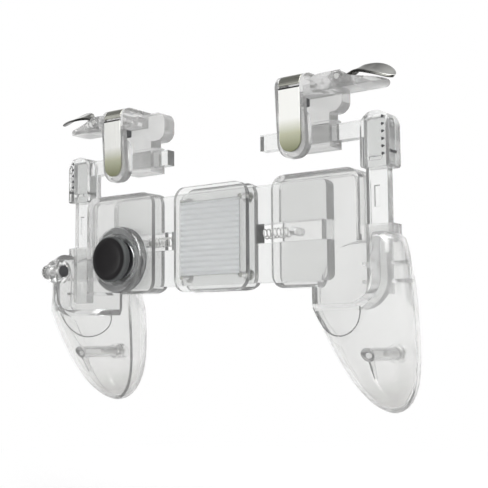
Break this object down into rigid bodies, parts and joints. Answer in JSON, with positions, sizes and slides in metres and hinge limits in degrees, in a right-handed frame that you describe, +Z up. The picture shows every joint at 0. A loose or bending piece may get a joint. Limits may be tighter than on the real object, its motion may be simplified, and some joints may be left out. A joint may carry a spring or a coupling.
{
  "type": "mobile game controller",
  "caption": "Clear clamp-on game controller that holds a phone sideways between sprung grips, with sliding trigger units, metal levers and a stick-on thumb stick.",
  "frame": {"origin": "middle of the pad's front face on the bridge, which the phone's back rests on", "axes": "+X to the player's right, -Y towards the player (the front), +Z up"},
  "size_m": [0.1639, 0.042, 0.1195],
  "materials": {
    "clear_plastic": "water-clear, polished",
    "grey_clear_plastic": "clear with a grey cast, polished",
    "steel": "plain steel",
    "polished_steel": "polished sheet",
    "dark_rubber": "matte",
    "soft_pad": "translucent, soft",
    "cap_plastic": "matte black",
    "stem_rubber": "conductive, matte"
  },
  "bodies": {
    "bridge": {"bridge_frame": "clear_plastic", "bridge_front_cover": "clear_plastic", "bridge_rear_cover": "clear_plastic", "phone_pad": "soft_pad", "bridge_screws": "steel", "right_spring": "steel", "left_spring": "steel"},
    "right_half": {"right_front_shell": "clear_plastic", "right_rear_shell": "clear_plastic", "right_grip_screw": "steel"},
    "right_arm": {"right_post": "clear_plastic", "right_trigger_arm": "clear_plastic"},
    "right_trigger": {"right_trigger_housing": "grey_clear_plastic", "right_contact_strip": "polished_steel", "right_top_plate": "polished_steel", "right_edge_pad": "dark_rubber", "right_screen_pad": "clear_plastic", "right_lever_pin": "steel", "right_lever_spring": "steel"},
    "right_lever_body": {"right_lever": "polished_steel"},
    "left_half": {"left_front_shell": "clear_plastic", "left_rear_shell": "clear_plastic", "left_grip_screw": "steel"},
    "left_arm": {"left_post": "clear_plastic", "left_trigger_arm": "clear_plastic"},
    "left_trigger": {"left_trigger_housing": "grey_clear_plastic", "left_contact_strip": "polished_steel", "left_top_plate": "polished_steel", "left_edge_pad": "dark_rubber", "left_screen_pad": "clear_plastic", "left_lever_pin": "steel", "left_lever_spring": "steel"},
    "left_lever_body": {"left_lever": "polished_steel"},
    "knob": {"clamp_knob": "clear_plastic", "clamp_shoe": "dark_rubber"},
    "stick_base": {"stick_base_ring": "clear_plastic", "stick_seat_pad": "soft_pad"},
    "stick_web": {"stick_spring_web": "clear_plastic"},
    "stick_top": {"stick_cap": "cap_plastic", "stick_stem": "stem_rubber"}
  },
  "joints": [
    {"name": "right_half_slide", "type": "slide", "parent": "bridge", "child": "right_half", "axis": [1, 0, 0], "range_m": [-0.006, 0.0095], "deforming": ["right_spring"]},
    {"name": "right_post_slide", "type": "slide", "parent": "right_half", "child": "right_arm", "axis": [0, 0, 1], "range_m": [-0.006, 0.006]},
    {"name": "right_trigger_slide", "type": "slide", "parent": "right_arm", "child": "right_trigger", "axis": [1, 0, 0], "range_m": [-0.0125, 0.0105]},
    {"name": "right_lever_hinge", "type": "hinge", "parent": "right_trigger", "child": "right_lever_body", "pos_m": [0.061, -0.0056, 0.049], "axis": [0, 1, 0], "range_deg": [-13, 2], "stiffness_Nm_per_rad": 0.06, "deforming": ["right_lever_spring"]},
    {"name": "left_half_slide", "type": "slide", "parent": "bridge", "child": "left_half", "axis": [-1, 0, 0], "range_m": [-0.006, 0.0095], "deforming": ["left_spring"]},
    {"name": "left_post_slide", "type": "slide", "parent": "left_half", "child": "left_arm", "axis": [0, 0, 1], "range_m": [-0.006, 0.006]},
    {"name": "left_trigger_slide", "type": "slide", "parent": "left_arm", "child": "left_trigger", "axis": [-1, 0, 0], "range_m": [-0.003, 0.02]},
    {"name": "left_lever_hinge", "type": "hinge", "parent": "left_trigger", "child": "left_lever_body", "pos_m": [-0.0515, -0.0056, 0.049], "axis": [0, -1, 0], "range_deg": [0, 15], "stiffness_Nm_per_rad": 0.06, "deforming": ["left_lever_spring"]},
    {"name": "knob_turn", "type": "hinge", "parent": "left_half", "child": "knob", "pos_m": [-0.079, -0.0046, -0.0098], "axis": [-1, 0, 0], "continuous": true},
    {"name": "stick_lift_off", "type": "slide", "parent": "left_half", "child": "stick_base", "axis": [0, -1, 0], "range_m": [0, 0.025]},
    {"name": "stick_across", "type": "slide", "parent": "stick_base", "child": "stick_web", "axis": [1, 0, 0], "range_m": [-0.0022, 0.0022], "stiffness_N_per_m": 150},
    {"name": "stick_up_down", "type": "slide", "parent": "stick_web", "child": "stick_top", "axis": [0, 0, 1], "range_m": [-0.0022, 0.0022], "stiffness_N_per_m": 150}
  ]
}
